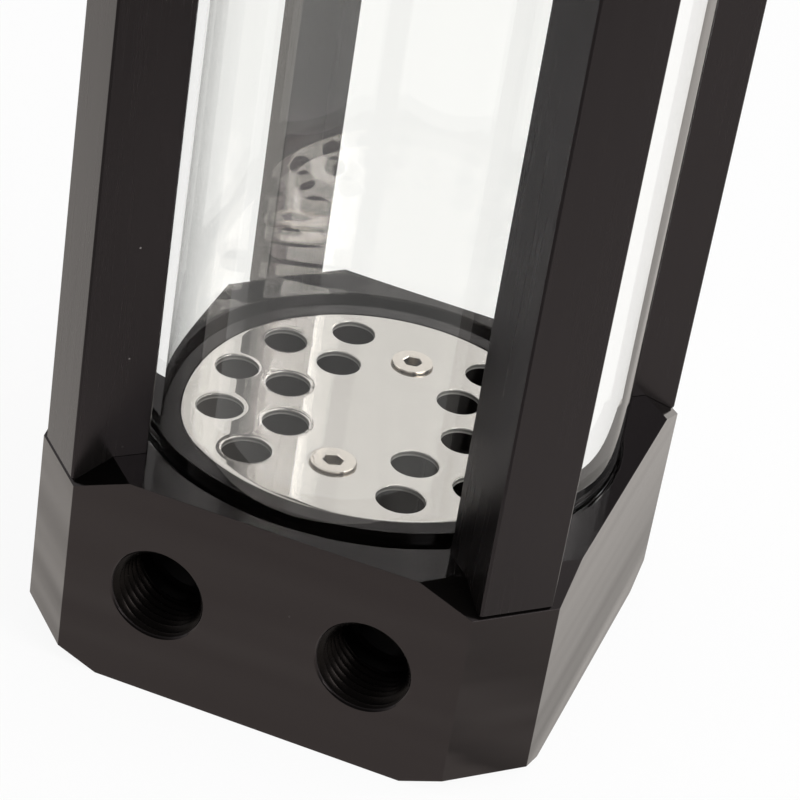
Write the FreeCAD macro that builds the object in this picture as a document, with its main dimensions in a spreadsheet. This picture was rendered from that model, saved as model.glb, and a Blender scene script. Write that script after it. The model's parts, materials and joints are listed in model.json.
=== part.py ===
# Reservoir of a liquid cooling loop: a glass tube held between a base block and a top cap by four
# corner struts with mitred ends, with a perforated flow plate over the chamber in the base.
# Millimetres, +Z up, origin at the middle of the base's underside, ports towards -Y.

import FreeCAD, Part
import Sketcher
import os
from math import cos, pi, sin

from FreeCAD import Placement, Rotation, Vector

# Driving dimensions: name, value in millimetres (degrees for the angles)
SIZES = [
    # Tube and the seals at its ends
    ("tube_radius", 35),
    ("tube_wall", 5),
    ("tube_seat", 3),
    ("tube_outer_play", 0.5),
    ("tube_inner_play", 0.2),
    ("seal_height", 2),
    ("seal_inset", 0.4),
    ("seal_bevel", 0.6),
    # Blocks at both ends
    ("tube_margin", 2.5),
    ("base_height", 32),
    ("cap_height", 20),
    ("facet_angle", 30),
    ("joint_drop", 3.25),
    ("edge_drop", 2.4),
    ("cut_overrun", 2),
    # Struts
    ("strut_span", 144),
    ("strut_width", 10.7),
    ("strut_depth", 10.6),
    ("strut_tube_gap", 1.07),
    ("strut_end_edge", 0.6),
    ("strut_edge", 0.25),
    # Screws, with the clearances of their holes
    ("strut_screw_inset", 7.4),
    ("strut_screw_radius", 1.5),
    ("strut_screw_head_radius", 2.75),
    ("strut_screw_head_height", 3),
    ("strut_screw_hex", 2.5),
    ("strut_screw_grip", 9),
    ("base_head_depth", 6),
    ("cap_head_depth", 4),
    ("strut_screw_hex_depth", 1.6),
    ("strut_screw_edge", 0.25),
    ("plate_screw_radius", 1.5),
    ("plate_screw_head_radius", 3.1),
    ("plate_screw_rim", 0.45),
    ("plate_screw_edge", 0.15),
    ("plate_screw_hex", 2),
    ("plate_screw_hex_depth", 1.1),
    ("plate_screw_length", 12),
    ("screw_hole_play", 0.2),
    ("head_play", 0.25),
    ("thread_play", 0.05),
    ("thread_runout", 3),
    # Flow plate and the chamber under it
    ("land_width", 2.45),
    ("plate_thickness", 1),
    ("plate_play", 0.15),
    ("plate_edge", 0.2),
    ("plate_ledge", 1.75),
    ("chamber_floor", 8),
    ("pillar_radius", 4.5),
    ("pillar_inset", 10.1),
    ("plate_hole_radius", 3.3),
    ("hole_wall_gap", 0.5),
    ("hole_web", 1.7),
    ("outer_hole_gap", 4.68),
    ("inner_hole_gap", 3.73),
    # Ports and the threads for a bracket
    ("port_spacing", 30),
    ("port_height", 16),
    ("port_radius", 6.58),
    ("port_mouth_edge", 0.32),
    ("port_thread_depth", 12),
    ("port_passage_radius", 5.6),
    ("mount_spacing", 42),
    ("mount_radius", 1.65),
    ("mount_depth", 6),
    # Plug of the fill port
    ("plug_head_radius", 10),
    ("plug_head_height", 4),
    ("plug_edge", 0.6),
    ("plug_shank_length", 8),
    ("plug_hex", 6),
    ("plug_hex_depth", 2.6),
    ("plug_play", 0.08),
    ("plug_seal_height", 1.4),
    ("plug_seal_bevel", 0.45),
    ("plug_seal_gap", 0.32),
    ("plug_seal_inset", 0.7),
    ("plug_seal_play", 0.05),
]

doc = FreeCAD.newDocument("reservoir")
sheet = doc.addObject("Spreadsheet::Sheet", "Sizes")
for row, (alias, value) in enumerate(SIZES, start=1):
    sheet.set(f"A{row}", alias)
    sheet.set(f"B{row}", str(value))
    sheet.setAlias(f"B{row}", alias)
doc.recompute()

# Places worked out from the driving dimensions, as expressions on the sheet
half_side = "(Sizes.tube_radius + Sizes.tube_margin)"
corner_flat = "(Sizes.tube_radius + Sizes.strut_tube_gap + Sizes.strut_depth)"
corner_start = f"({corner_flat} * sqrt(2) - {half_side})"
facet_slope = "tan(Sizes.facet_angle)"
cap_bottom = "(Sizes.base_height + Sizes.strut_span)"
cap_top = f"({cap_bottom} + Sizes.cap_height)"

tube_inner = "(Sizes.tube_radius - Sizes.tube_wall)"
tube_bottom = "(Sizes.base_height - Sizes.tube_seat)"
tube_top = f"({cap_bottom} + Sizes.tube_seat)"
tube_groove_depth = "(Sizes.tube_seat + Sizes.seal_height)"

strut_inner = f"({corner_flat} - Sizes.strut_depth)"
strut_screw_circle = f"({corner_flat} - Sizes.strut_screw_inset)"
strut_thread_radius = "(Sizes.strut_screw_radius + Sizes.thread_play)"
strut_thread_depth = "(Sizes.strut_screw_grip + Sizes.thread_runout)"
base_screw_length = "(Sizes.base_height - Sizes.base_head_depth + Sizes.strut_screw_grip)"
cap_screw_length = "(Sizes.cap_height - Sizes.cap_head_depth + Sizes.strut_screw_grip)"

recess_radius = f"({tube_inner} - Sizes.tube_inner_play - Sizes.land_width)"
chamber_radius = f"({recess_radius} - Sizes.plate_ledge)"
plate_bottom = "(Sizes.base_height - Sizes.plate_thickness)"
plate_screw_offset = f"({chamber_radius} - Sizes.pillar_inset)"
plate_thread_radius = "(Sizes.plate_screw_radius + Sizes.thread_play)"
plate_thread_depth = "(Sizes.plate_screw_length + Sizes.thread_runout)"
countersink_radius = "(Sizes.plate_screw_head_radius + Sizes.thread_play)"
countersink_depth = f"({countersink_radius} - {plate_thread_radius})"
outer_hole_circle = f"({chamber_radius} - Sizes.plate_hole_radius - Sizes.hole_wall_gap)"
inner_hole_circle = f"({outer_hole_circle} - 2 * Sizes.plate_hole_radius - Sizes.hole_web)"

port_mouth_radius = "(Sizes.port_radius + Sizes.port_mouth_edge)"
plug_bottom = f"({cap_top} + Sizes.plug_seal_height + Sizes.plug_seal_play)"

CORNERS = [
    ("front_left", 225),
    ("front_right", 315),
    ("rear_right", 45),
    ("rear_left", 135),
]
DIAGONAL = 45
HEX_CORNERS = 6


def new_body(label):
    body = doc.addObject("PartDesign::Body", label)
    body.Label = label
    return body


def origin_feature(body, role):
    for feature in body.Origin.OriginFeatures:
        if feature.Role == role:
            return feature
    raise ValueError(role)


def new_sketch(body, name, plane, height="0", turn=0):
    """A sketch on one of the body's own planes, raised along the plane's normal."""
    sketch = body.newObject("Sketcher::SketchObject", f"{body.Name}_{name}")
    sketch.AttachmentSupport = [(origin_feature(body, plane), "")]
    sketch.MapMode = "FlatFace"
    sketch.AttachmentOffset = Placement(Vector(), Rotation(Vector(0, 1, 0), turn))
    sketch.setExpression("AttachmentOffset.Base.z", height)
    return sketch


def drive(sketch, kind, elements, start_value, name, expression):
    """Adds one named dimension to a sketch and binds it to the sheet."""
    index = sketch.addConstraint(Sketcher.Constraint(kind, *elements, start_value))
    sketch.renameConstraint(index, name)
    sketch.setExpression(f"Constraints.{name}", expression)


def add_outline(sketch, points):
    """A closed outline of straight lines, with each corner placed from the sketch's origin."""
    first = sketch.GeometryCount
    count = len(points)
    starts = [Vector(cos(2 * pi * i / count), sin(2 * pi * i / count), 0) for i in range(count)]
    for i, start in enumerate(starts):
        sketch.addGeometry(Part.LineSegment(start, starts[(i + 1) % count]), False)
    for i in range(count):
        sketch.addConstraint(Sketcher.Constraint("Coincident", first + i, 2, first + (i + 1) % count, 1))
    for i, (across, along) in enumerate(points):
        corner = (-1, 1, first + i, 1)
        drive(sketch, "DistanceX", corner, starts[i].x, f"x_{first + i}", across)
        drive(sketch, "DistanceY", corner, starts[i].y, f"y_{first + i}", along)


def add_circle(sketch, across, along, radius):
    index = sketch.GeometryCount
    sketch.addGeometry(Part.Circle(Vector(), Vector(0, 0, 1), 1), False)
    middle = (-1, 1, index, 3)
    drive(sketch, "DistanceX", middle, 0, f"x_{index}", across)
    drive(sketch, "DistanceY", middle, 0, f"y_{index}", along)
    drive(sketch, "Radius", (index,), 1, f"radius_{index}", radius)


def pad(body, sketch, length, symmetric=False):
    feature = body.newObject("PartDesign::Pad", f"{sketch.Name}_pad")
    feature.Profile = sketch
    feature.SideType = "Symmetric" if symmetric else "One side"
    feature.setExpression("Length", length)
    doc.recompute()
    return feature


def require_cut(body, feature, volume_before):
    """A cut that points away from its solid removes nothing, so its volume is compared."""
    doc.recompute()
    if not feature.Shape.Volume < volume_before:
        raise RuntimeError(f"{feature.Name} removes nothing from {body.Label}")
    return feature


def pocket(body, sketch, depth, upward=False, symmetric=False):
    volume_before = body.Shape.Volume
    feature = body.newObject("PartDesign::Pocket", f"{sketch.Name}_pocket")
    feature.Profile = sketch
    feature.Reversed = upward
    feature.SideType = "Symmetric" if symmetric else "One side"
    feature.setExpression("Length", depth)
    return require_cut(body, feature, volume_before)


def groove(body, sketch):
    volume_before = body.Shape.Volume
    feature = body.newObject("PartDesign::Groove", f"{sketch.Name}_groove")
    feature.Profile = sketch
    feature.ReferenceAxis = (sketch, ["V_Axis"])
    feature.Angle = 360
    return require_cut(body, feature, volume_before)


def revolve(body, sketch):
    feature = body.newObject("PartDesign::Revolution", f"{sketch.Name}_revolution")
    feature.Profile = sketch
    feature.ReferenceAxis = (sketch, ["V_Axis"])
    feature.Angle = 360
    doc.recompute()
    return feature


def polar_pattern(body, original, angle, count):
    volume_before = body.Shape.Volume
    feature = body.newObject("PartDesign::PolarPattern", f"{original.Name}_pattern")
    feature.Originals = [original]
    feature.Axis = (origin_feature(body, "Z_Axis"), [""])
    feature.setExpression("Angle", angle)
    feature.Occurrences = count
    body.Tip = feature
    return require_cut(body, feature, volume_before)


def mirror_left_right(body, original):
    volume_before = body.Shape.Volume
    feature = body.newObject("PartDesign::Mirrored", f"{original.Name}_mirrored")
    feature.Originals = [original]
    feature.MirrorPlane = (origin_feature(body, "YZ_Plane"), [""])
    body.Tip = feature
    return require_cut(body, feature, volume_before)


def chamfer_edges(body, name, size, chosen):
    """Chamfers the edges of the body that pass the test."""
    edges = [f"Edge{i}" for i, edge in enumerate(body.Shape.Edges, start=1) if chosen(edge)]
    base = body.Tip
    volume_before = body.Shape.Volume
    feature = body.newObject("PartDesign::Chamfer", f"{body.Name}_{name}")
    feature.Base = (base, edges)
    feature.setExpression("Size", size)
    return require_cut(body, feature, volume_before)


def place_on_corner(body, radius, height, angle, flipped=False):
    """Moves a body made on the Z axis to a corner of the block."""
    upside_down = Rotation(Vector(1, 0, 0), 180) if flipped else Rotation()
    body.Placement = Placement(Vector(), Rotation(Vector(0, 0, 1), angle) * upside_down)
    body.setExpression("Placement.Base.x", f"{radius} * cos({angle})")
    body.setExpression("Placement.Base.y", f"{radius} * sin({angle})")
    body.setExpression("Placement.Base.z", height)


def add_hexagon(sketch, across_flats):
    corner_radius = f"{across_flats} / sqrt(3)"
    step = 360 // HEX_CORNERS
    turns = [step * i for i in range(HEX_CORNERS)]
    add_outline(sketch, [(f"{corner_radius} * cos({a})", f"{corner_radius} * sin({a})") for a in turns])


# Blocks at both ends of the tube

def octagon_block(label, bottom, height):
    """A square block with its four upright corners cut flat."""
    body = new_body(label)
    outline = new_sketch(body, "outline", "XY_Plane", bottom)
    far, near = half_side, corner_start
    add_outline(outline, [
        (far, f"-{near}"), (far, near), (near, far), (f"-{near}", far),
        (f"-{far}", near), (f"-{far}", f"-{near}"), (f"-{near}", f"-{far}"), (near, f"-{far}"),
    ])
    pad(body, outline, height)
    return body


def cut_corner_facets(body, bottom, top, bottom_drop, top_drop):
    """Sloping facets above and below each corner flat, the same slope at both ends."""
    sketch = new_sketch(body, "facets", "XZ_Plane", turn=DIAGONAL)
    outside = f"({corner_flat} + Sizes.cut_overrun)"
    rise = f"(Sizes.cut_overrun * {facet_slope})"
    for level, drop, inward in ((top, top_drop, "-"), (bottom, bottom_drop, "+")):
        outward = "+" if inward == "-" else "-"
        start = f"{corner_flat} - {drop} / {facet_slope} - Sizes.cut_overrun"
        beyond = f"{level} {outward} {rise}"
        end = f"{level} {inward} ({drop} + {rise})"
        add_outline(sketch, [(start, beyond), (outside, end), (outside, beyond)])
    facet = pocket(body, sketch, f"2 * {half_side}", symmetric=True)
    polar_pattern(body, facet, "360", len(CORNERS))


def cut_tube_groove(body, level, upward):
    """Ring groove that takes the end of the tube with its seal."""
    sketch = new_sketch(body, "tube_groove", "XY_Plane", level)
    add_circle(sketch, "0", "0", "Sizes.tube_radius + Sizes.tube_outer_play")
    add_circle(sketch, "0", "0", f"{tube_inner} - Sizes.tube_inner_play")
    pocket(body, sketch, tube_groove_depth, upward)


def cut_strut_screw_holes(body, outer_level, upward, height, head_depth):
    """Through holes at the corners, counterbored for the screw heads."""
    middle = f"{strut_screw_circle} * cos({DIAGONAL})"
    hole_radius = "Sizes.strut_screw_radius + Sizes.screw_hole_play"
    head_radius = "Sizes.strut_screw_head_radius + Sizes.head_play"
    steps = [("screw_hole", hole_radius, height), ("head_hole", head_radius, head_depth)]
    for name, radius, depth in steps:
        sketch = new_sketch(body, name, "XY_Plane", outer_level)
        add_circle(sketch, middle, middle, radius)
        hole = pocket(body, sketch, depth, upward)
        polar_pattern(body, hole, "360", len(CORNERS))


def cut_plate_screw_holes(body):
    """Countersunk holes for the two screws of the flow plate, right through to their ends."""
    for name, side in (("front", "-"), ("rear", "")):
        sketch = new_sketch(body, f"{name}_countersink", "XZ_Plane", f"-{side}{plate_screw_offset}")
        add_outline(sketch, [
            ("0", "Sizes.base_height"),
            (countersink_radius, "Sizes.base_height"),
            (plate_thread_radius, f"Sizes.base_height - {countersink_depth}"),
            (plate_thread_radius, f"Sizes.base_height - {plate_thread_depth}"),
            ("0", f"Sizes.base_height - {plate_thread_depth}"),
        ])
        groove(body, sketch)


def make_base_block():
    body = octagon_block("base_block", "0", "Sizes.base_height")
    cut_corner_facets(body, "0", "Sizes.base_height", "Sizes.edge_drop", "Sizes.joint_drop")

    # Chamber under the flow plate, with two pillars that carry it
    chamber = new_sketch(body, "chamber", "XY_Plane", "Sizes.base_height")
    add_circle(chamber, "0", "0", chamber_radius)
    for side in ("", "-"):
        add_circle(chamber, "0", f"{side}{plate_screw_offset}", "Sizes.pillar_radius")
    pocket(body, chamber, "Sizes.base_height - Sizes.chamber_floor")
    recess = new_sketch(body, "plate_recess", "XY_Plane", "Sizes.base_height")
    add_circle(recess, "0", "0", recess_radius)
    pocket(body, recess, "Sizes.plate_thickness")
    cut_plate_screw_holes(body)

    cut_tube_groove(body, "Sizes.base_height", upward=False)

    # Threaded ports from the front face into the chamber, with a chamfered mouth
    port = new_sketch(body, "port", "XY_Plane", "Sizes.port_height")
    port.setExpression("AttachmentOffset.Base.x", "Sizes.port_spacing / 2")
    add_outline(port, [
        ("0", f"-{half_side}"),
        (port_mouth_radius, f"-{half_side}"),
        ("Sizes.port_radius", f"Sizes.port_mouth_edge - {half_side}"),
        ("Sizes.port_radius", f"Sizes.port_thread_depth - {half_side}"),
        ("Sizes.port_passage_radius", f"Sizes.port_thread_depth - {half_side}"),
        ("Sizes.port_passage_radius", "0"),
        ("0", "0"),
    ])
    right_port = groove(body, port)
    mirror_left_right(body, right_port)

    cut_strut_screw_holes(body, "0", True, "Sizes.base_height", "Sizes.base_head_depth")

    # Threaded holes in the underside, for a bracket
    mount = new_sketch(body, "mount_hole", "XY_Plane")
    add_circle(mount, "Sizes.mount_spacing / 2", "Sizes.mount_spacing / 2", "Sizes.mount_radius")
    mount_hole = pocket(body, mount, "Sizes.mount_depth", upward=True)
    polar_pattern(body, mount_hole, "360", len(CORNERS))
    return body


def make_top_cap():
    body = octagon_block("top_cap", cap_bottom, "Sizes.cap_height")
    cut_corner_facets(body, cap_bottom, cap_top, "Sizes.joint_drop", "Sizes.edge_drop")
    cut_tube_groove(body, cap_bottom, upward=True)
    fill_port = new_sketch(body, "fill_port", "XZ_Plane")
    add_outline(fill_port, [
        ("0", cap_bottom),
        ("Sizes.port_radius", cap_bottom),
        ("Sizes.port_radius", f"{cap_top} - Sizes.port_mouth_edge"),
        (port_mouth_radius, cap_top),
        ("0", cap_top),
    ])
    groove(body, fill_port)
    cut_strut_screw_holes(body, cap_top, False, "Sizes.cap_height", "Sizes.cap_head_depth")
    return body


# Struts and the screws that hold them

def make_strut(corner, angle):
    """A bar on a corner flat, flush with it; both ends follow the blocks' facets."""
    body = new_body(f"strut_{corner}")
    facet_start = f"({corner_flat} - Sizes.joint_drop / {facet_slope})"
    tip_run = f"({corner_flat} - Sizes.strut_end_edge)"
    tip_drop = f"(Sizes.joint_drop - Sizes.strut_end_edge * {facet_slope})"
    edge_drop = "(Sizes.joint_drop - Sizes.strut_end_edge)"
    side = new_sketch(body, "side", "XZ_Plane")
    add_outline(side, [
        (strut_inner, "Sizes.base_height"),
        (facet_start, "Sizes.base_height"),
        (tip_run, f"Sizes.base_height - {tip_drop}"),
        (corner_flat, f"Sizes.base_height - {edge_drop}"),
        (corner_flat, f"{cap_bottom} + {edge_drop}"),
        (tip_run, f"{cap_bottom} + {tip_drop}"),
        (facet_start, cap_bottom),
        (strut_inner, cap_bottom),
    ])
    pad(body, side, "Sizes.strut_width", symmetric=True)
    ends = [("base_thread", "Sizes.base_height", True), ("cap_thread", cap_bottom, False)]
    for name, level, upward in ends:
        sketch = new_sketch(body, name, "XY_Plane", level)
        add_circle(sketch, strut_screw_circle, "0", strut_thread_radius)
        pocket(body, sketch, strut_thread_depth, upward)
    half_span = doc.Sizes.strut_span / 2
    chamfer_edges(body, "long_edges", "Sizes.strut_edge",
                  lambda edge: edge.BoundBox.ZLength > half_span)
    body.Placement = Placement(Vector(), Rotation(Vector(0, 0, 1), angle))
    return body


def make_screw(label, profile, top, hex_size, hex_depth):
    """A screw standing on its axis, turned from its profile, with a hexagon socket."""
    body = new_body(label)
    section = new_sketch(body, "section", "XZ_Plane")
    add_outline(section, profile)
    revolve(body, section)
    socket = new_sketch(body, "socket", "XY_Plane", top)
    add_hexagon(socket, hex_size)
    pocket(body, socket, hex_depth)
    return body


def make_strut_screw(label, length):
    """A cylinder-head screw with the underside of its head at the origin."""
    head_radius, head_height = "Sizes.strut_screw_head_radius", "Sizes.strut_screw_head_height"
    profile = [
        ("0", f"-{length}"),
        ("Sizes.strut_screw_radius", f"-{length}"),
        ("Sizes.strut_screw_radius", "0"),
        (head_radius, "0"),
        (head_radius, f"{head_height} - Sizes.strut_screw_edge"),
        (f"{head_radius} - Sizes.strut_screw_edge", head_height),
        ("0", head_height),
    ]
    return make_screw(label, profile, head_height, "Sizes.strut_screw_hex", "Sizes.strut_screw_hex_depth")


def make_strut_screws(corner, angle):
    """One screw from below through the base and one from above through the cap."""
    base_screw = make_strut_screw(f"base_strut_screw_{corner}", base_screw_length)
    place_on_corner(base_screw, strut_screw_circle, "Sizes.base_head_depth", angle, flipped=True)
    cap_screw = make_strut_screw(f"cap_strut_screw_{corner}", cap_screw_length)
    place_on_corner(cap_screw, strut_screw_circle, f"{cap_top} - Sizes.cap_head_depth", angle)
    return [base_screw, cap_screw]


# Tube and its seals

def make_glass_tube():
    body = new_body("glass_tube")
    wall = new_sketch(body, "wall", "XZ_Plane")
    add_outline(wall, [
        (tube_inner, tube_bottom),
        ("Sizes.tube_radius", tube_bottom),
        ("Sizes.tube_radius", tube_top),
        (tube_inner, tube_top),
    ])
    revolve(body, wall)
    return body


def make_ring_seal(label, inner, outer, bottom, height, bevel):
    """A pressed ring seal: flat on its two seats and bevelled at both sides."""
    body = new_body(label)
    section = new_sketch(body, "section", "XZ_Plane")
    top = f"{bottom} + {height}"
    add_outline(section, [
        (f"{inner} + {bevel}", bottom),
        (f"{outer} - {bevel}", bottom),
        (outer, f"{bottom} + {bevel}"),
        (outer, f"{top} - {bevel}"),
        (f"{outer} - {bevel}", top),
        (f"{inner} + {bevel}", top),
        (inner, f"{top} - {bevel}"),
        (inner, f"{bottom} + {bevel}"),
    ])
    revolve(body, section)
    return body


def make_tube_seals():
    inner = f"{tube_inner} + Sizes.seal_inset"
    outer = "Sizes.tube_radius - Sizes.seal_inset"
    seats = [("base_tube_seal", f"{tube_bottom} - Sizes.seal_height"), ("cap_tube_seal", tube_top)]
    return [make_ring_seal(label, inner, outer, bottom, "Sizes.seal_height", "Sizes.seal_bevel")
            for label, bottom in seats]


# Flow plate with its two screws

def make_flow_plate():
    body = new_body("flow_plate")
    disc = new_sketch(body, "disc", "XY_Plane", plate_bottom)
    add_circle(disc, "0", "0", f"{recess_radius} - Sizes.plate_play")
    pad(body, disc, "Sizes.plate_thickness")

    # Two fans of holes on two circles, left and right of the screws
    fans = [("outer", outer_hole_circle, 5), ("inner", inner_hole_circle, 3)]
    for ring, circle, count in fans:
        half_chord = f"(Sizes.plate_hole_radius + Sizes.{ring}_hole_gap / 2)"
        step = f"2 * asin({half_chord} / {circle})"
        for side, middle in (("right", 0), ("left", 180)):
            start = f"({middle} deg - {step} * {count // 2})"
            sketch = new_sketch(body, f"{ring}_{side}", "XY_Plane", "Sizes.base_height")
            add_circle(sketch, f"{circle} * cos{start}", f"{circle} * sin{start}", "Sizes.plate_hole_radius")
            hole = pocket(body, sketch, "Sizes.plate_thickness")
            polar_pattern(body, hole, f"{step} * {count - 1}", count)

    middle_height = doc.Sizes.base_height - doc.Sizes.plate_thickness / 2
    chamfer_edges(body, "upper_edges", "Sizes.plate_edge",
                  lambda edge: edge.BoundBox.ZMin > middle_height)
    cut_plate_screw_holes(body)
    return body


def make_plate_screws():
    """Countersunk screws whose rims stand a little above the plate."""
    head_radius, rim = "Sizes.plate_screw_head_radius", "Sizes.plate_screw_rim"
    cone_depth = f"({head_radius} - Sizes.plate_screw_radius)"
    profile = [
        ("0", "-Sizes.plate_screw_length"),
        ("Sizes.plate_screw_radius", "-Sizes.plate_screw_length"),
        ("Sizes.plate_screw_radius", f"-{cone_depth}"),
        (head_radius, "0"),
        (head_radius, f"{rim} - Sizes.plate_screw_edge"),
        (f"{head_radius} - Sizes.plate_screw_edge", rim),
        ("0", rim),
    ]
    screws = []
    for name, side in (("front", "-"), ("rear", "")):
        screw = make_screw(f"plate_screw_{name}", profile, rim, "Sizes.plate_screw_hex",
                           "Sizes.plate_screw_hex_depth")
        screw.setExpression("Placement.Base.y", f"{side}{plate_screw_offset}")
        screw.setExpression("Placement.Base.z", "Sizes.base_height")
        screws.append(screw)
    return screws


# Plug of the fill port

def make_fill_plug():
    body = new_body("fill_plug")
    head_top = f"({plug_bottom} + Sizes.plug_head_height)"
    shank_bottom = f"({cap_top} - Sizes.plug_shank_length)"
    shank_radius = "(Sizes.port_radius - Sizes.plug_play)"
    profile = new_sketch(body, "profile", "XZ_Plane")
    add_outline(profile, [
        ("0", shank_bottom),
        (f"{shank_radius} - Sizes.plug_edge", shank_bottom),
        (shank_radius, f"{shank_bottom} + Sizes.plug_edge"),
        (shank_radius, plug_bottom),
        ("Sizes.plug_head_radius", plug_bottom),
        ("Sizes.plug_head_radius", f"{head_top} - Sizes.plug_edge"),
        ("Sizes.plug_head_radius - Sizes.plug_edge", head_top),
        ("0", head_top),
    ])
    revolve(body, profile)
    socket = new_sketch(body, "socket", "XY_Plane", head_top)
    add_hexagon(socket, "Sizes.plug_hex")
    pocket(body, socket, "Sizes.plug_hex_depth")
    return body


def make_fill_plug_seal():
    return make_ring_seal("fill_plug_seal", "Sizes.port_radius + Sizes.plug_seal_gap",
                          "Sizes.plug_head_radius - Sizes.plug_seal_inset", cap_top,
                          "Sizes.plug_seal_height", "Sizes.plug_seal_bevel")


pieces = [make_base_block(), make_top_cap(), make_glass_tube(), make_flow_plate(), make_fill_plug()]
pieces += [make_fill_plug_seal()]
pieces += make_tube_seals()
pieces += make_plate_screws()
for corner, angle in CORNERS:
    pieces += [make_strut(corner, angle)]
    pieces += make_strut_screws(corner, angle)
doc.recompute()

for item in doc.Objects:
    if "Invalid" in item.State or "Error" in item.State:
        raise RuntimeError(f"{item.Label} failed: {item.State}")
for piece in pieces:
    if piece.Shape.isNull() or not piece.Shape.isValid() or len(piece.Shape.Solids) != 1:
        raise RuntimeError(f"{piece.Label} has no single valid solid")

os.makedirs("parts", exist_ok=True)
for piece in pieces:
    piece.Shape.exportStep(f"parts/{piece.Label}.step")
    print(piece.Label, round(piece.Shape.Volume, 1), piece.Shape.BoundBox)
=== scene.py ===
# Looks of a water cooling reservoir: the finish of every piece, the glass, the perforated plate, the
# cut threads of the ports and the plug, and a plain studio with the camera at the photograph's angle.
# Metres, +Z up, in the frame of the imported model.

import json
from math import copysign, cos, pi, radians, sin, tau

import bpy
from mathutils import Matrix, Vector


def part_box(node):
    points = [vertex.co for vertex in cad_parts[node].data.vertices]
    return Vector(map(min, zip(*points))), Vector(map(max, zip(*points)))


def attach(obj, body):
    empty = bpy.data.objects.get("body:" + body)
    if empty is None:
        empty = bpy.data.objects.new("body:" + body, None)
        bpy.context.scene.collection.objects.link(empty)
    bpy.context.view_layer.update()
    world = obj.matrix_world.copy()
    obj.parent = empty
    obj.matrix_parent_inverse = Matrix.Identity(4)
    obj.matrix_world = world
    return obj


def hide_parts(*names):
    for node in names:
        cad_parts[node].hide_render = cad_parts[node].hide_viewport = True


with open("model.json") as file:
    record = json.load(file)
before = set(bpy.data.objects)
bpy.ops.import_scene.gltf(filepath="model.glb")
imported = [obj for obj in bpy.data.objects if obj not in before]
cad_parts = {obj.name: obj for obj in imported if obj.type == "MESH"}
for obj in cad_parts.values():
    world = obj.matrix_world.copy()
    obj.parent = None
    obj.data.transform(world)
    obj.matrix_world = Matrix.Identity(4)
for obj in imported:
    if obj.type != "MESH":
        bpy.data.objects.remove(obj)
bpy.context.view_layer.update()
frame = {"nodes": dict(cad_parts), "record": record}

MM = 0.001
SHARP_ANGLE = radians(35)
ROUND_STEPS = 192
RIM_STEPS = 5
SOCKET_BEVEL_SHARE = 0.05
SOCKET_DRILL_SHARE = 0.44
DRILL_TIP_SHARE = 0.125
DRILL_TIP_DEPTH_SHARE = 0.5

# Camera, fitted to the photograph's 800 x 800 frame
CAMERA_AZIMUTH = radians(15.873)
CAMERA_ELEVATION = radians(30.875)
CAMERA_ROLL = radians(9.562)
CAMERA_TARGET = Vector((-4.805, 28.77, 16.071)) * MM
CAMERA_DISTANCE = 421.27 * MM
CAMERA_LENS = 123.76


# Mesh helpers

def new_piece(name, mesh, body, slot, finish=None):
    """An object that rides on a body, smooth except at its sharp edges, in a finish or its slot's own."""
    mesh.shade_smooth()
    mesh.set_sharp_from_angle(angle=SHARP_ANGLE)
    mesh.materials.clear()
    mesh.materials.append(finish or FINISHES[slot])
    piece = bpy.data.objects.new(name, mesh)
    bpy.context.scene.collection.objects.link(piece)
    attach(piece, body)
    return piece


def skin(name, loops, place=Matrix(), closed_ring=False):
    """A mesh through loops of equal count; its ends are closed, or joined as a ring."""
    count = len(loops[0])
    vertices = [place @ point for loop in loops for point in loop]
    faces = []
    last = len(loops) if closed_ring else len(loops) - 1
    for row in range(last):
        low, high = row * count, (row + 1) % len(loops) * count
        for i in range(count):
            j = (i + 1) % count
            faces.append((low + i, low + j, high + j, high + i))
    if not closed_ring:
        faces.append(tuple(reversed(range(count))))
        faces.append(tuple(range((len(loops) - 1) * count, len(loops) * count)))
    mesh = bpy.data.meshes.new(name)
    mesh.from_pydata(vertices, [], faces)
    return mesh


def circle(radius, height):
    """Points of a level circle about the Z axis."""
    turns = [tau * i / ROUND_STEPS for i in range(ROUND_STEPS)]
    return [Vector((radius * cos(a), radius * sin(a), height)) for a in turns]


def hexagon(across_flats, height):
    """A hexagon with as many points as a circle, so that the two can be joined by faces."""
    loop = []
    for i in range(ROUND_STEPS):
        turn = tau * i / ROUND_STEPS
        off_flat = (turn % (pi / 3)) - pi / 6
        radius = across_flats / 2 / cos(off_flat)
        loop.append(Vector((radius * cos(turn), radius * sin(turn), height)))
    return loop


def rounded_rim(radius, top, edge):
    """Loops of an upright side that rounds over into a flat top."""
    turns = [pi / 2 * i / RIM_STEPS for i in range(RIM_STEPS + 1)]
    return [circle(radius - edge + edge * cos(a), top - edge + edge * sin(a)) for a in turns]


def hex_socket(across_flats, top, depth):
    """Loops of a hexagon socket in a flat top: a bevelled mouth, six walls and a drilled floor."""
    bevel = SOCKET_BEVEL_SHARE * across_flats
    drill = SOCKET_DRILL_SHARE * across_flats
    return [
        hexagon(across_flats + 2 * bevel, top),
        hexagon(across_flats, top - bevel),
        hexagon(across_flats, top - depth),
        circle(drill, top - depth),
        circle(DRILL_TIP_SHARE * drill, top - depth - DRILL_TIP_DEPTH_SHARE * drill),
    ]


def middle_of(corners):
    """Middle of a box that is given by its low and high corners."""
    low, high = corners
    return (Vector(low) + Vector(high)) / 2


def half_width(name):
    """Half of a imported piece's size along X, which is the radius of a round one."""
    low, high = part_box(name)
    return (high.x - low.x) / 2


def threaded_holes():
    """The record's mounts that are threaded holes: the two ports of the front face."""
    return [mount for mount in frame["record"]["mounts"] if mount["kind"] == "threaded_hole"]


# Node helpers

NOISE_LOW = 0.3
NOISE_HIGH = 0.7


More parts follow.
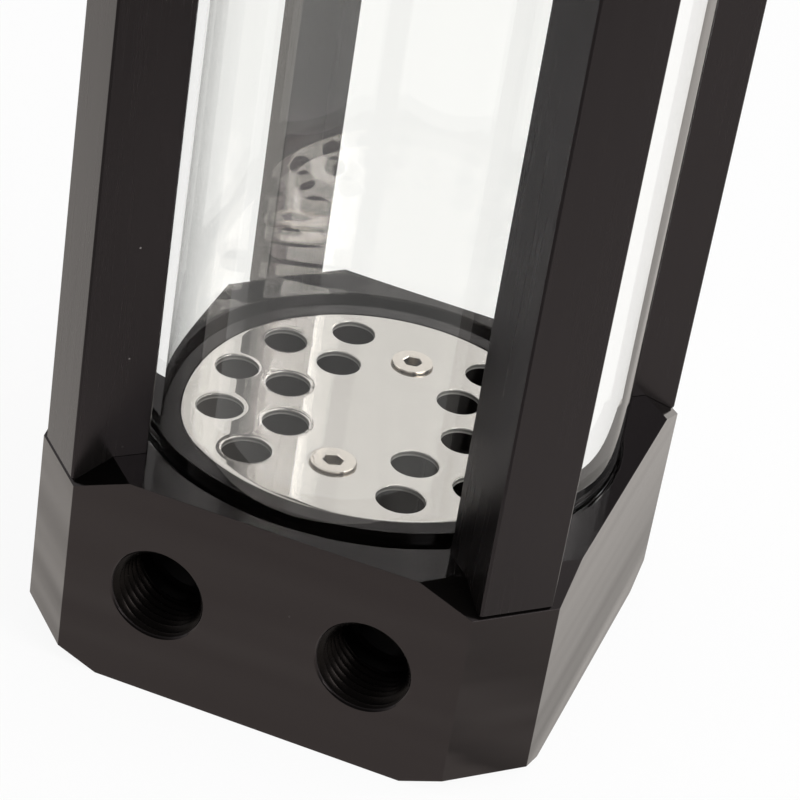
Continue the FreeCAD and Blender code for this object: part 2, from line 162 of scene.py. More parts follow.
def node(tree, kind, inputs=None, **settings):
    """Adds a node; each input is a plain value or the socket that feeds it."""
    new = tree.nodes.new(kind)
    for name, value in settings.items():
        setattr(new, name, value)
    for socket, value in (inputs or {}).items():
        if isinstance(value, bpy.types.NodeSocket):
            tree.links.new(value, new.inputs[socket])
        else:
            new.inputs[socket].default_value = value
    return new


def new_finish(name, values):
    """A material whose Principled shader has these constant values; returns it with its shader."""
    material = bpy.data.materials.new(name)
    material.use_nodes = True
    shader = material.node_tree.nodes["Principled BSDF"]
    for socket, value in values.items():
        shader.inputs[socket].default_value = value
    return material, material.node_tree, shader


def object_place(tree):
    """Where a point lies in its object's own frame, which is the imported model's at rest."""
    return node(tree, "ShaderNodeTexCoord").outputs["Object"]


def along_axes(tree, vector):
    """The X, Y and Z of a vector."""
    return node(tree, "ShaderNodeSeparateXYZ", {0: vector}).outputs


def stretched(tree, per_metre):
    """Places counted in texture cells per metre along X, Y and Z."""
    values = {"Vector": object_place(tree), "Scale": per_metre}
    return node(tree, "ShaderNodeMapping", values).outputs["Vector"]


def noise(tree, per_metre, detail=3.0, roughness=0.5):
    """Soft noise from 0 to 1, with so many cells per metre along X, Y and Z."""
    values = {"Vector": stretched(tree, per_metre), "Scale": 1.0, "Detail": detail, "Roughness": roughness}
    return node(tree, "ShaderNodeTexNoise", values).outputs["Fac"]


def spread(tree, value, low, high, start=NOISE_LOW, end=NOISE_HIGH):
    """Maps a value from start..end onto low..high; noise needs no start or end."""
    values = {"Value": value, "From Min": start, "From Max": end, "To Min": low, "To Max": high}
    return node(tree, "ShaderNodeMapRange", values).outputs["Result"]


def between(tree, share, low, high):
    """Maps a share from 0..1 onto low..high."""
    return spread(tree, share, low, high, 0.0, 1.0)


def maths(tree, operation, first, second=0.0):
    return node(tree, "ShaderNodeMath", {0: first, 1: second}, operation=operation).outputs[0]


def vector_maths(tree, operation, first, second=(0, 0, 0), output="Vector"):
    return node(tree, "ShaderNodeVectorMath", {0: first, 1: second}, operation=operation).outputs[output]


def graded(tree, value, levels):
    """A grey that runs through levels, given by the values they belong to."""
    start, end = min(levels), max(levels)
    share = spread(tree, value, 0.0, 1.0, start, end)
    ramp = node(tree, "ShaderNodeValToRGB", {"Fac": share})
    stops = ramp.color_ramp.elements
    while len(stops) < len(levels):
        stops.new(0.5)
    for stop, place in zip(stops, sorted(levels)):
        stop.position = (place - start) / (end - start)
        stop.color = (levels[place],) * 3 + (1,)
    return ramp.outputs["Color"]


def added(tree, first, second):
    return maths(tree, "ADD", first, second)


def tinted(tree, share, dark, light):
    """A colour between dark and light; each is a plain colour or a socket."""
    mix = node(tree, "ShaderNodeMix", data_type="RGBA")
    tree.links.new(share, mix.inputs["Factor"])
    for socket, colour in ((mix.inputs[6], dark), (mix.inputs[7], light)):
        if isinstance(colour, bpy.types.NodeSocket):
            tree.links.new(colour, socket)
        else:
            socket.default_value = (*colour, 1)
    return mix.outputs[2]


def bumped(tree, height, distance, strength):
    """Normals of a surface that rises by a height of 0 to 1 times the distance."""
    values = {"Height": height, "Distance": distance, "Strength": strength}
    return node(tree, "ShaderNodeBump", values).outputs["Normal"]


WEAR_SAMPLES = 6
WEAR_CELLS = (900, 900, 900)
WORN_LIKENESS = 0.72
FLAT_LIKENESS = 0.985
LEAST_WEAR = 0.35


def edge_wear_and_glint(tree, width):
    """Up to 1 along edges, broken up by noise, and 0 on flat stretches; it marks edge wear, and on thread
    crests a painted highlight.

    It compares the true normals with those of an edge that is rounded by the width.
    """
    rounded = node(tree, "ShaderNodeBevel", {"Radius": width}, samples=WEAR_SAMPLES).outputs["Normal"]
    flat = node(tree, "ShaderNodeNewGeometry").outputs["Normal"]
    likeness = vector_maths(tree, "DOT_PRODUCT", rounded, flat, "Value")
    edge = spread(tree, likeness, 1.0, 0.0, WORN_LIKENESS, FLAT_LIKENESS)
    patches = spread(tree, noise(tree, WEAR_CELLS), LEAST_WEAR, 1.0)
    return maths(tree, "MULTIPLY", edge, patches)


def dust(tree, per_metre, size, share):
    """1 on small specks in a share of the cells, 0 elsewhere; the size is in cells."""
    cells = node(tree, "ShaderNodeTexVoronoi", {"Vector": stretched(tree, per_metre), "Scale": 1.0})
    chance = node(tree, "ShaderNodeSeparateColor", {0: cells.outputs["Color"]}).outputs[0]
    chosen = maths(tree, "LESS_THAN", chance, share)
    specks = spread(tree, cells.outputs["Distance"], 1.0, 0.0, size / 2, size)
    return maths(tree, "MULTIPLY", chosen, specks)


UPRIGHT_RISE = 0.1
LEVEL_RISE = 0.6


def upright_share(tree):
    """0 on level faces and 1 on upright ones, by how far their normals rise or fall."""
    normal = node(tree, "ShaderNodeNewGeometry").outputs["Normal"]
    rise = maths(tree, "ABSOLUTE", along_axes(tree, normal)["Z"])
    return spread(tree, rise, 1.0, 0.0, UPRIGHT_RISE, LEVEL_RISE)


ALL_BUT_Y = (1, 0, 1)
ALL_BUT_Z = (1, 1, 0)
BORED_MARGIN = 0.1 * MM


def distance_from_line(tree, place, across, through=(0, 0, 0)):
    """Distance from a straight line; across is 0 along the line's own axis and 1 along the others."""
    offset = vector_maths(tree, "SUBTRACT", place, through)
    flat = vector_maths(tree, "MULTIPLY", offset, across)
    return vector_maths(tree, "LENGTH", flat, output="Value")


def bored_and_shaded_share(tree):
    """1 on the walls of the base's chamber and of its ports, 0 on the outside; these walls are dulled and
    darkened with painted shade.
    """
    place = object_place(tree)
    along = along_axes(tree, place)
    radius = distance_from_line(tree, place, ALL_BUT_Z)
    below_plate = maths(tree, "LESS_THAN", along["Z"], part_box("flow_plate")[0].z - BORED_MARGIN)
    in_chamber = maths(tree, "LESS_THAN", radius, half_width("flow_plate") - BORED_MARGIN)
    bored_and_shaded = maths(tree, "MULTIPLY", below_plate, in_chamber)
    ahead = maths(tree, "LESS_THAN", along["Y"], 0.0)
    for mount in threaded_holes():
        away = distance_from_line(tree, place, ALL_BUT_Y, mount["pos_m"])
        in_port = maths(tree, "LESS_THAN", away, mount["dims"]["r_mm"] * MM + BORED_MARGIN)
        bored_and_shaded = maths(tree, "MAXIMUM", bored_and_shaded, maths(tree, "MULTIPLY", in_port, ahead))
    return bored_and_shaded


def feed(tree, shader, sources):
    """Links textures to the shader's sockets, given by name."""
    for socket, source in sources.items():
        tree.links.new(source, shader.inputs[socket])


def show(tree, surface):
    """Makes a shader the material's surface."""
    tree.links.new(surface.outputs[0], tree.nodes["Material Output"].inputs["Surface"])


# Finishes

DUST_COLOUR = (0.16, 0.15, 0.145)


def block_finish():
    """Satin black machined plastic: soft bands on upright faces, duller level faces and bored walls, whose
    colour is darkened with painted shade.
    """
    material, tree, shader = new_finish("satin_black_plastic", {"Specular Tint": (1.0, 0.86, 0.875, 1)})
    mottle = noise(tree, (70, 70, 70))
    lay = noise(tree, (9, 9, 130), detail=1)
    grain = noise(tree, (9000, 9000, 9000), detail=2)
    black = tinted(tree, mottle, (0.0014, 0.0012, 0.0011), (0.0022, 0.0019, 0.0018))
    worn = tinted(tree, edge_wear_and_glint(tree, 0.25 * MM), black, (0.030, 0.027, 0.026))
    dusty = tinted(tree, dust(tree, (260, 260, 260), 0.045, 0.20), worn, DUST_COLOUR)
    upright = upright_share(tree)
    bored_and_shaded = bored_and_shaded_share(tree)
    faced = added(tree, spread(tree, mottle, 0.09, 0.13), spread(tree, lay, -0.02, 0.02))
    bands = maths(tree, "MULTIPLY", lay, upright)
    relief = added(tree, bands, spread(tree, grain, 0.0, 0.002))
    feed(tree, shader, {
        "Specular IOR Level": between(tree, upright, 0.24, 0.44),
        # Base Color: painted shade darkens the walls of the chamber and the ports.
        "Base Color": tinted(tree, bored_and_shaded, dusty, (0.0010, 0.0009, 0.0009)),
        "Roughness": added(tree, faced, between(tree, bored_and_shaded, 0.0, 0.5)),
        "Normal": bumped(tree, relief, 1.7 * MM, 0.4),
    })
    return material


def thread_finish():
    """Threads cut in the black plastic: deep black flanks and thin pale crests, paled by burr wear and by
    a painted highlight.
    """
    material, tree, shader = new_finish("cut_black_plastic", {
        "Specular IOR Level": 0.1,
        "Specular Tint": (1.0, 0.85, 0.80, 1),
    })
    lay = noise(tree, (1500, 1500, 1500))
    black = tinted(tree, lay, (0.0016, 0.0014, 0.0013), (0.0030, 0.0026, 0.0024))
    feed(tree, shader, {
        # The crests are paler through burr wear and through a painted highlight.
        "Base Color": tinted(tree, edge_wear_and_glint(tree, 0.08 * MM), black, (0.018, 0.016, 0.015)),
        "Roughness": spread(tree, lay, 0.22, 0.30),
        "Normal": bumped(tree, lay, 0.003 * MM, 0.2),
    })
    return material


def strut_finish():
    """Black anodised aluminium, finely brushed along its length, paler and duller on its edges."""
    material, tree, shader = new_finish("brushed_black_aluminium", {
        "Specular IOR Level": 0.31,
        "Specular Tint": (1.0, 0.874, 0.933, 1),
    })
    brushing = noise(tree, (3600, 3600, 40), detail=3, roughness=0.65)
    cloud = noise(tree, (90, 90, 30))
    black = tinted(tree, brushing, (0.0030, 0.0026, 0.0025), (0.0085, 0.0074, 0.0071))
    edge = edge_wear_and_glint(tree, 0.22 * MM)
    worn = tinted(tree, edge, black, (0.020, 0.0185, 0.018))
    brushed = added(tree, spread(tree, brushing, 0.22, 0.28), spread(tree, cloud, -0.02, 0.02))
    feed(tree, shader, {
        "Base Color": tinted(tree, dust(tree, (240, 240, 240), 0.045, 0.14), worn, DUST_COLOUR),
        "Roughness": added(tree, brushed, between(tree, edge, 0.0, 0.35)),
        "Normal": bumped(tree, brushing, 0.006 * MM, 0.15),
    })
    return material


SMUDGE_START = 0.7
SMUDGE_FULL = 0.9


def glass_finish():
    """Clear thick glass that lets lamps through to what it holds."""
    material, tree, shader = new_finish("clear_glass", {
        "Base Color": (0.993, 0.994, 0.98, 1),
        "Transmission Weight": 1.0,
        "IOR": 1.473,
    })
    smudge = noise(tree, (40, 40, 25), detail=5)
    feed(tree, shader, {"Roughness": spread(tree, smudge, 0.0, 0.006, SMUDGE_START, SMUDGE_FULL)})
    lamp_ray = node(tree, "ShaderNodeLightPath").outputs["Is Shadow Ray"]
    clear = node(tree, "ShaderNodeBsdfTransparent", {"Color": (0.955, 0.957, 0.945, 1)})
    show(tree, node(tree, "ShaderNodeMixShader", {0: lamp_ray, 1: shader.outputs[0], 2: clear.outputs[0]}))
    return material


WALL_SHADED_SHARE = 0.5
WALL_LIT_SHARE = 0.35


def plate_finish():
    """Polished stainless steel with faint hairlines and waves.

    The walls of its holes are duller, dark with painted shade in their upper half and paler with painted
    light below.
    """
    material, tree, shader = new_finish("polished_steel", {})
    haze = noise(tree, (120, 120, 120))
    hairline = noise(tree, (180, 7000, 180), detail=3, roughness=0.7)
    wall = upright_share(tree)
    low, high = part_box("flow_plate")
    height = spread(tree, along_axes(tree, object_place(tree))["Z"], 0.0, 1.0, low.z, high.z)
    # Painted shade darkens the upper half of the hole walls, and painted light pales their lower half.
    painted_light_share = spread(tree, height, 1.0, 0.0, WALL_LIT_SHARE, WALL_SHADED_SHARE)
    painted_wall_light_and_shade = tinted(tree, painted_light_share, (0.10, 0.097, 0.092), (0.30, 0.29, 0.275))
    bright = tinted(tree, haze, (0.588, 0.560, 0.532), (0.636, 0.607, 0.578))
    feed(tree, shader, {
        "Base Color": tinted(tree, wall, bright, painted_wall_light_and_shade),
        "Metallic": between(tree, wall, 1.0, 0.3),
        "Roughness": added(tree, spread(tree, hairline, 0.02, 0.05), between(tree, wall, 0.0, 0.34)),
        "Normal": bumped(tree, haze, 0.01 * MM, 0.5),
    })
    return material


def bright_screw_finish():
    """Stainless screw steel, turned; painted shade darkens its upright faces and the socket's walls."""
    material, tree, shader = new_finish("bright_screw_steel", {"Metallic": 1.0})
    lay = noise(tree, (2500, 2500, 2500), detail=3)
    bright = tinted(tree, lay, (0.64, 0.59, 0.54), (0.74, 0.685, 0.63))
    feed(tree, shader, {
        # Painted shade: the upright faces and the socket's walls take a darker colour.
        "Base Color": tinted(tree, upright_share(tree), bright, (0.30, 0.275, 0.245)),
        "Roughness": spread(tree, lay, 0.13, 0.22),
        "Normal": bumped(tree, lay, 0.006 * MM, 0.2),
    })
    return material


def black_screw_finish():
    """Screw steel with a black oxide."""
    material, tree, shader = new_finish("black_oxide_steel", {"Metallic": 0.7})
    lay = noise(tree, (1800, 1800, 1800), detail=4)
    feed(tree, shader, {
        "Base Color": tinted(tree, lay, (0.020, 0.020, 0.022), (0.045, 0.044, 0.046)),
        "Roughness": spread(tree, lay, 0.32, 0.46),
        "Normal": bumped(tree, lay, 0.01 * MM, 0.3),
    })
    return material


def rubber_finish():
    """Matt black seal rubber."""
    material, tree, shader = new_finish("seal_rubber", {"Specular IOR Level": 0.35})
    grain = noise(tree, (4000, 4000, 4000), detail=4)
    feed(tree, shader, {
        "Base Color": tinted(tree, grain, (0.006, 0.006, 0.006), (0.012, 0.012, 0.012)),
        "Roughness": spread(tree, grain, 0.5, 0.68),
        "Normal": bumped(tree, grain, 0.02 * MM, 0.3),
    })
    return material


RINGS_PER_METRE = 4500.0


def plug_finish():
    """Black plated metal with the rings of turning on its faces."""
    material, tree, shader = new_finish("black_plated_metal", {"Metallic": 0.85})
    radius = distance_from_line(tree, object_place(tree), ALL_BUT_Z)
    values = {"W": radius, "Scale": RINGS_PER_METRE, "Detail": 3.0}
    lay = node(tree, "ShaderNodeTexNoise", values, noise_dimensions="1D").outputs["Fac"]
    black = tinted(tree, lay, (0.030, 0.029, 0.029), (0.055, 0.053, 0.052))
    feed(tree, shader, {
        "Base Color": tinted(tree, edge_wear_and_glint(tree, 0.25 * MM), black, (0.16, 0.15, 0.135)),
        "Roughness": spread(tree, lay, 0.24, 0.36),
        "Normal": bumped(tree, lay, 0.015 * MM, 0.3),
    })
    return material


FINISHES = {
    "block_plastic": block_finish(),
    "strut_aluminium": strut_finish(),
    "tube_glass": glass_finish(),
    "plate_steel": plate_finish(),
    "plate_screw_steel": bright_screw_finish(),
    "black_screw_steel": black_screw_finish(),
    "seal_rubber": rubber_finish(),
    "plug_metal": plug_finish(),
}
THREAD_FINISH = thread_finish()

for part in frame["nodes"].values():
    for part_slot in part.material_slots:
        part_slot.material = FINISHES[part_slot.material.name]


# Rounded edges of the machined pieces

EDGE_ROUNDING = {
    "base_block": 0.08 * MM,
    "top_cap": 0.08 * MM,
    "strut": 0.07 * MM,
}
EDGE_SEGMENTS = 2
JOIN_DISTANCE = 0.002 * MM
FLAT_ANGLE = radians(0.5)
EDGE_ANGLE = radians(28)
FLATS_WEIGHT = 100


def round_edges(part, width):
    """Modifiers that make each flat one face, round its edges and keep it evenly shaded up to them."""
    weld = part.modifiers.new("joined_faces", "WELD")
    weld.merge_threshold = JOIN_DISTANCE
    whole = part.modifiers.new("whole_flats", "DECIMATE")
    whole.decimate_type = "DISSOLVE"
    whole.angle_limit = FLAT_ANGLE
    bevel = part.modifiers.new("rounded_edges", "BEVEL")
    bevel.width = width
    bevel.segments = EDGE_SEGMENTS
    bevel.limit_method = "ANGLE"
    bevel.angle_limit = EDGE_ANGLE
    part.modifiers.new("even_flats", "WEIGHTED_NORMAL").weight = FLATS_WEIGHT


for name, part in frame["nodes"].items():
    for start, width in EDGE_ROUNDING.items():
        if name.startswith(start):
            round_edges(part, width)


# Glass tube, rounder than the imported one

TUBE_EDGE = 0.4 * MM


def make_glass_tube():
    """A tube with bevelled ends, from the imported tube's ends and radii."""
    low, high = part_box("glass_tube")
    outer = half_width("glass_tube")
    inner = min(vertex.co.xy.length for vertex in frame["nodes"]["glass_tube"].data.vertices)
    profile = [
        (inner, low.z + TUBE_EDGE), (inner + TUBE_EDGE, low.z),
        (outer - TUBE_EDGE, low.z), (outer, low.z + TUBE_EDGE),
        (outer, high.z - TUBE_EDGE), (outer - TUBE_EDGE, high.z),
        (inner + TUBE_EDGE, high.z), (inner, high.z - TUBE_EDGE),
    ]
    loops = [circle(radius, height) for radius, height in profile]
    tube = new_piece("clear_tube", skin("clear_tube", loops, closed_ring=True), "reservoir", "tube_glass")
    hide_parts("glass_tube")


# Flow plate with rounded rims, and its two screws

PLATE_RIM_WIDTH = 0.9 * MM
PLATE_RIM_DROP = 0.13 * MM
PLATE_RIM_STEPS = 8
LEVEL_MARGIN = 0.0005 * MM
SCREW_PLAY = 0.05 * MM
SCREW_RIM = 0.15 * MM
SCREW_BAND = 0.3 * MM
SCREW_TIP = 0.4 * MM
SCREW_HEX = 2.45 * MM
SCREW_HEX_DEPTH = 1.5 * MM
SCREW_TURNS = {"plate_screw_front": radians(30), "plate_screw_rear": radians(12)}


def plate_holes():
    """Middle and radius of each hole, from the record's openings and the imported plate."""
    corners = [vertex.co.xy for vertex in frame["nodes"]["flow_plate"].data.vertices]
    holes = []
    for opening in frame["record"]["physics"]["openings"]:
        if opening["name"].startswith("plate_hole"):
            middle = middle_of(opening["box_m"])
            holes.append((middle, min((corner - middle.xy).length for corner in corners)))
    return holes


def add_round_outline(curve, middle, radius):
    """Adds a closed circle to a flat curve: the plate's outside or one of its holes."""
    outline = curve.splines.new("POLY")
    outline.points.add(ROUND_STEPS - 1)
    for point, place in zip(outline.points, circle(radius, 0)):
        point.co = (place.x + middle.x, place.y + middle.y, 0, 1)
    outline.use_cyclic_u = True


def neck_radius(name):
    """Radius of a screw at the plate's top, where the cone under its head ends."""
    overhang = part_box(name)[1].z - SCREW_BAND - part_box("flow_plate")[1].z
    return half_width(name) - overhang


def level_normals(mesh, low, high):
    """Points the normals of the level top and underside straight up and down."""
    half = (high - low) / 2
    normals = []
    for vertex in mesh.vertices:
        rise = vertex.co.z - low - half
        level = abs(rise) > half - LEVEL_MARGIN
        normals.append(Vector((0, 0, copysign(1, rise))) if level else vertex.normal.copy())
    mesh.normals_split_custom_set_from_vertices(normals)


def make_flow_plate():
    """The plate's outlines, thickened with round rims that are then flattened to the rims' drop."""
    low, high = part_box("flow_plate")
    wall = (high.z - low.z) / 2 - PLATE_RIM_DROP
    shape = bpy.data.curves.new("plate_outline", "CURVE")
    shape.dimensions = "2D"
    shape.fill_mode = "BOTH"
    shape.bevel_depth = PLATE_RIM_WIDTH
    shape.bevel_resolution = PLATE_RIM_STEPS
    shape.offset = -PLATE_RIM_WIDTH
    shape.extrude = wall
    add_round_outline(shape, Vector(), half_width("flow_plate"))
    for middle, radius in plate_holes():
        add_round_outline(shape, middle, radius)
    for name in SCREW_TURNS:
        add_round_outline(shape, middle_of(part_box(name)), neck_radius(name) + SCREW_PLAY)
    mesh = bpy.data.meshes.new_from_object(bpy.data.objects.new("plate_outline", shape))
    for vertex in mesh.vertices:
        past_wall = max(0, abs(vertex.co.z) - wall)
        flattened = abs(vertex.co.z) - past_wall + past_wall * PLATE_RIM_DROP / PLATE_RIM_WIDTH
        vertex.co.z = copysign(flattened, vertex.co.z) + (low.z + high.z) / 2
    plate = new_piece("perforated_plate", mesh, "reservoir", "plate_steel")
    level_normals(mesh, low.z, high.z)
    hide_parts("flow_plate")


def make_plate_screw(name, turn):
    """A socket screw whose head narrows in a cone to the neck in the plate's hole."""
    low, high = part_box(name)
    middle = middle_of((low, high))
    head = half_width(name)
    neck = neck_radius(name)
    plate_low, plate_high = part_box("flow_plate")
    tip = [vertex.co for vertex in frame["nodes"][name].data.vertices if vertex.co.z < low.z + SCREW_TIP]
    shank = max((point - middle).xy.length for point in tip)
    loops = [
        circle(shank - SCREW_TIP, low.z),
        circle(shank, low.z + SCREW_TIP),
        circle(shank, plate_low.z - (neck - shank)),
        circle(neck, plate_low.z),
        circle(neck, plate_high.z),
        circle(head, high.z - SCREW_BAND),
    ]
    loops += rounded_rim(head, high.z, SCREW_RIM)
    loops += hex_socket(SCREW_HEX, high.z, SCREW_HEX_DEPTH)
    place = Matrix.Translation((middle.x, middle.y, 0)) @ Matrix.Rotation(turn, 4, "Z")
    screw = new_piece(f"bright_{name}", skin(name, loops, place), "reservoir", "plate_screw_steel")
    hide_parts(name)


# Pipe threads of the two ports, the fill port and its plug

THREAD_PITCH = 1.337 * MM
THREAD_ROOT_SINK = 0.04 * MM
THREAD_DEPTH = 0.80 * MM
THREAD_ROOT_SHARE = 0.43
THREAD_CREST_SHARE = 0.09
THREAD_SHOULDER = 0.92
THREAD_STEPS = 72
THREAD_FADE_TURNS = 0.4
THREAD_LEAST_FADE = 0.03
THREAD_CREST_PLAY = 0.16 * MM


def thread(name, root_radius, depth, length, place, phase=0.0):
    """Mesh of a right-hand thread's ridge along Z from the origin, moved to its place.

    A positive depth points away from the axis and a negative one towards it. The ridge fades out at
    both ends.
    """
    turns = length / THREAD_PITCH
    steps = round(turns * THREAD_STEPS)
    half_root = THREAD_ROOT_SHARE * THREAD_PITCH
    half_crest = THREAD_CREST_SHARE * THREAD_PITCH
    section = [
        (-half_root, 0),
        (-half_crest, THREAD_SHOULDER),
        (0, 1),
        (half_crest, THREAD_SHOULDER),
        (half_root, 0),
    ]
    if depth < 0:
        section.reverse()
    loops = []
    for step in range(steps + 1):
        turn = turns * step / steps
        fade = min(1, (turns - turn) / THREAD_FADE_TURNS, turn / THREAD_FADE_TURNS)
        fade = max(THREAD_LEAST_FADE, fade)
        across = Vector((cos(tau * (turn + phase)), sin(tau * (turn + phase)), 0))
        loop = []
        for along, share in section:
            height = turn * THREAD_PITCH + along * fade
            loop.append(across * (root_radius + depth * fade * share) + Vector((0, 0, height)))
        loops.append(loop)
    return skin(name, loops, place)


PORT_MOUTH_EDGE = 0.32 * MM
PORT_THREAD_START = 0.1 * MM
PORT_THREAD_TURNS = 6.5


def make_port_thread(mount):
    """The ridge inside a port of the front face, from behind its chamfered mouth inwards."""
    name = f"{mount['name']}_thread"
    radius = mount["dims"]["r_mm"] * MM + THREAD_ROOT_SINK
    start = Vector(mount["pos_m"])
    start.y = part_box("base_block")[0].y + PORT_MOUTH_EDGE + PORT_THREAD_START
    inward = -Vector(mount["axis"])
    turn = Vector((0, 0, 1)).rotation_difference(inward).to_matrix().to_4x4()
    place = Matrix.Translation(start) @ turn
    mesh = thread(name, radius, -THREAD_DEPTH, PORT_THREAD_TURNS * THREAD_PITCH, place)
    new_piece(name, mesh, "reservoir", "block_plastic", THREAD_FINISH)


PLUG_SEAT_PLAY = 0.05 * MM
PLUG_TIP = 0.5 * MM
PLUG_EDGE = 0.6 * MM
PLUG_UNDER_EDGE = 0.3 * MM
PLUG_NECK = 1.2 * MM
PLUG_HEX = 6.0 * MM
PLUG_HEX_DEPTH = 2.6 * MM
FILL_PORT_RADIUS = threaded_holes()[0]["dims"]["r_mm"] * MM
FILL_PORT_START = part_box("top_cap")[0].z + THREAD_PITCH / 2
FILL_PORT_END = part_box("top_cap")[1].z - THREAD_PITCH
PLUG_CORE_RADIUS = FILL_PORT_RADIUS - THREAD_CREST_PLAY - THREAD_DEPTH
PLUG_THREAD_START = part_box("fill_plug")[0].z + THREAD_PITCH / 2
PLUG_HEAD_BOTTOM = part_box("fill_plug_seal")[1].z + PLUG_SEAT_PLAY


def make_fill_plug():
    """The plug's head with its socket, and the core that its thread stands on."""
    low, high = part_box("fill_plug")
    head = half_width("fill_plug")
    loops = [
        circle(PLUG_CORE_RADIUS - PLUG_TIP, low.z),
        circle(PLUG_CORE_RADIUS, low.z + PLUG_TIP),
        circle(PLUG_CORE_RADIUS, PLUG_HEAD_BOTTOM),
        circle(head - PLUG_UNDER_EDGE, PLUG_HEAD_BOTTOM),
        circle(head, PLUG_HEAD_BOTTOM + PLUG_UNDER_EDGE),
    ]
    loops += rounded_rim(head, high.z, PLUG_EDGE)
    loops += hex_socket(PLUG_HEX, high.z, PLUG_HEX_DEPTH)
    plug = new_piece("threaded_plug", skin("threaded_plug", loops), "plug", "plug_metal")
    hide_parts("fill_plug")


def make_fill_port_thread():
    """The ridge inside the cap's fill port, as wide as the ports of the base."""
    radius = FILL_PORT_RADIUS + THREAD_ROOT_SINK
    place = Matrix.Translation((0, 0, FILL_PORT_START))
    mesh = thread("fill_port_thread", radius, -THREAD_DEPTH, FILL_PORT_END - FILL_PORT_START, place)
    new_piece("fill_port_thread", mesh, "reservoir", "block_plastic", THREAD_FINISH)


def make_plug_thread():
    """The plug's ridge, half a pitch from the port's, so that the two run past each other."""
    radius = PLUG_CORE_RADIUS - THREAD_ROOT_SINK
    depth = THREAD_DEPTH + THREAD_ROOT_SINK
    length = PLUG_HEAD_BOTTOM - PLUG_NECK - PLUG_THREAD_START
    place = Matrix.Translation((0, 0, PLUG_THREAD_START))
    phase = (PLUG_THREAD_START - FILL_PORT_START) / THREAD_PITCH - 0.5
    mesh = thread("plug_thread", radius, depth, length, place, phase)
    new_piece("plug_thread", mesh, "plug", "plug_metal")


make_glass_tube()
make_flow_plate()
for screw_name, screw_turn in SCREW_TURNS.items():
    make_plate_screw(screw_name, screw_turn)
for hole in threaded_holes():
    make_port_thread(hole)
make_fill_plug()
make_fill_port_thread()
make_plug_thread()


# Studio

FLOOR_SIZE = 6.0
BACKGROUND_SHARE = 0.92
WORLD_FILL = 0.4
DIM_FRONT = Vector((0, -0.94, 0.34))
DIM_FRONT_START = 0.3
DIM_FRONT_FULL = 0.75
DIM_FRONT_STRENGTH = 0.12
DIM_FLOOR_START = -85 * MM
DIM_FLOOR_END = -130 * MM
DIM_FLOOR_STRENGTH = 0.45
# For mirrored rays the floor carries painted light and shade: a warm tint, and strengths that dim it
# beside and ahead of the base.
MIRRORED_PAINTED_WARMTH = (1.0, 0.945, 0.885)
MIRRORED_PAINTED_SHADE = {
    -200 * MM: 0.88, -60 * MM: 1.0, -30 * MM: 0.93, 37 * MM: 0.93,
    38 * MM: 0.48, 45 * MM: 0.80, 50 * MM: 0.84, 60 * MM: 0.64, 95 * MM: 0.92,
}
STUDIO_MIDDLE = Vector((0, 0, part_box("base_block")[1].z))
SOFTBOXES = {
    "right_key": {
        "direction": (0.81, -0.28, 0.51), "distance": 0.8, "width": 0.38, "height": 0.38, "radiance": 6.4,
    },
    "right_wall": {
        "direction": (0.86, -0.02, 0.50), "distance": 0.9, "width": 1.5, "height": 0.45, "radiance": 2.4,
    },
    "left_softbox": {
        "direction": (-0.9, -0.1, 0.7), "distance": 0.9, "width": 0.5, "height": 0.6, "radiance": 0.9,
    },
    "top_softbox": {
        "direction": (0.1, 0.25, 1.0), "distance": 0.9, "width": 0.7, "height": 0.7, "radiance": 0.6,
    },
}


def background_rays(tree):
    """1 for the rays that show the background: to the camera, and by way of metal and glass."""
    path = node(tree, "ShaderNodeLightPath")
    seen = path.outputs["Is Camera Ray"]
    for kind in ("Is Glossy Ray", "Is Transmission Ray"):
        seen = maths(tree, "MAXIMUM", seen, path.outputs[kind])
    return seen


def mirrored_rays(tree):
    """1 for the rays that a surface mirrors, and 0 for those that come through glass."""
    path = node(tree, "ShaderNodeLightPath")
    outside_glass = maths(tree, "SUBTRACT", 1.0, path.outputs["Is Transmission Ray"])
    return maths(tree, "MULTIPLY", path.outputs["Is Glossy Ray"], outside_glass)


def make_floor():
    """A pale floor that reads as white and keeps a soft shadow; where pieces mirror it, it is dimmer, with
    painted shade that varies across it and a painted warm tint.
    """
    bpy.ops.mesh.primitive_plane_add(size=FLOOR_SIZE)
    floor = bpy.context.object
    floor.name = "floor"
    material, tree, shader = new_finish("pale_floor", {"Base Color": (0.9, 0.9, 0.9, 1), "Roughness": 0.9})
    mirrored = mirrored_rays(tree)
    along = along_axes(tree, object_place(tree))
    # Painted shade ahead of the base, seen only in reflections.
    ahead = spread(tree, along["Y"], 1.0 - DIM_FLOOR_STRENGTH, 0.0, DIM_FLOOR_END, DIM_FLOOR_START)
    strength = maths(tree, "SUBTRACT", 1.0, maths(tree, "MULTIPLY", mirrored, ahead))
    # Painted shade beside the base and a painted warm tint, seen only in reflections.
    painted_sideways_shade = graded(tree, along["X"], MIRRORED_PAINTED_SHADE)
    colour = tinted(tree, mirrored, (1, 1, 1), tinted(tree, painted_sideways_shade, (0, 0, 0), MIRRORED_PAINTED_WARMTH))
    white = node(tree, "ShaderNodeEmission", {"Color": colour, "Strength": strength})
    share = maths(tree, "MULTIPLY", background_rays(tree), BACKGROUND_SHARE)
    show(tree, node(tree, "ShaderNodeMixShader", {0: share, 1: shader.outputs[0], 2: white.outputs[0]}))
    floor.data.materials.append(material)


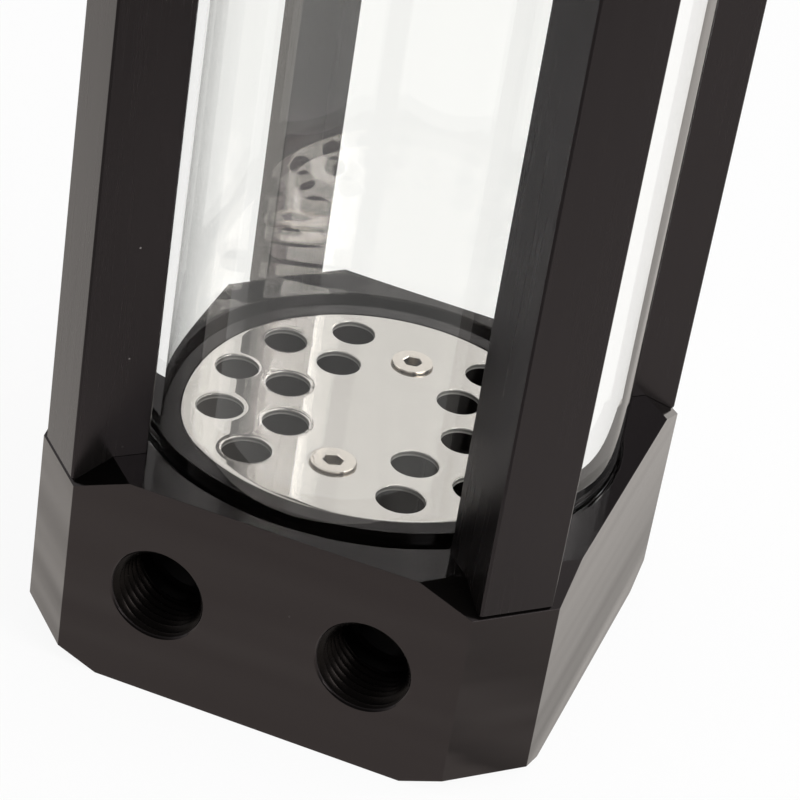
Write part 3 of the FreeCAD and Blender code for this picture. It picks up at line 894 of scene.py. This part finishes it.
def make_world():
    """White all round, with a dim front for what the pieces mirror."""
    world = bpy.data.worlds.new("studio")
    bpy.context.scene.world = world
    world.use_nodes = True
    tree = world.node_tree
    towards = node(tree, "ShaderNodeTexCoord").outputs["Generated"]
    front = vector_maths(tree, "DOT_PRODUCT", towards, DIM_FRONT, "Value")
    dim = spread(tree, front, 0.0, 1.0 - DIM_FRONT_STRENGTH, DIM_FRONT_START, DIM_FRONT_FULL)
    dimmed = maths(tree, "MULTIPLY", mirrored_rays(tree), dim)
    shown = between(tree, background_rays(tree), WORLD_FILL, 1.0)
    background = tree.nodes["Background"]
    background.inputs["Color"].default_value = (1, 1, 1, 1)
    tree.links.new(maths(tree, "SUBTRACT", shown, dimmed), background.inputs["Strength"])


def softbox(name, direction, distance, width, height, radiance):
    """An area lamp that faces the object; its power follows from its size and radiance."""
    lamp = bpy.data.lights.new(name, "AREA")
    lamp.shape = "RECTANGLE"
    lamp.size = width
    lamp.size_y = height
    lamp.energy = radiance * pi * width * height
    place = bpy.data.objects.new(name, lamp)
    towards = Vector(direction).normalized()
    place.location = STUDIO_MIDDLE + towards * distance
    place.rotation_euler = towards.to_track_quat("Z", "Y").to_euler()
    place.visible_camera = False
    bpy.context.scene.collection.objects.link(place)


def make_camera():
    """A camera that looks at its target from the fitted angles, rolled about its own axis."""
    azimuth, elevation, roll = CAMERA_AZIMUTH, CAMERA_ELEVATION, CAMERA_ROLL
    back = Vector((sin(azimuth) * cos(elevation), -cos(azimuth) * cos(elevation), sin(elevation)))
    level = Vector((cos(azimuth), sin(azimuth), 0))
    upright = back.cross(level)
    right = level * cos(roll) + upright * sin(roll)
    up = upright * cos(roll) - level * sin(roll)
    camera = bpy.data.cameras.new("camera")
    camera.lens = CAMERA_LENS
    place = bpy.data.objects.new("camera", camera)
    turn = Matrix((right, up, back)).transposed().to_4x4()
    place.matrix_world = Matrix.Translation(CAMERA_TARGET + back * CAMERA_DISTANCE) @ turn
    bpy.context.scene.collection.objects.link(place)
    bpy.context.scene.camera = place


make_floor()
make_world()
for lamp_name, lamp_settings in SOFTBOXES.items():
    softbox(lamp_name, **lamp_settings)
make_camera()
bpy.context.scene.view_settings.view_transform = "Standard"
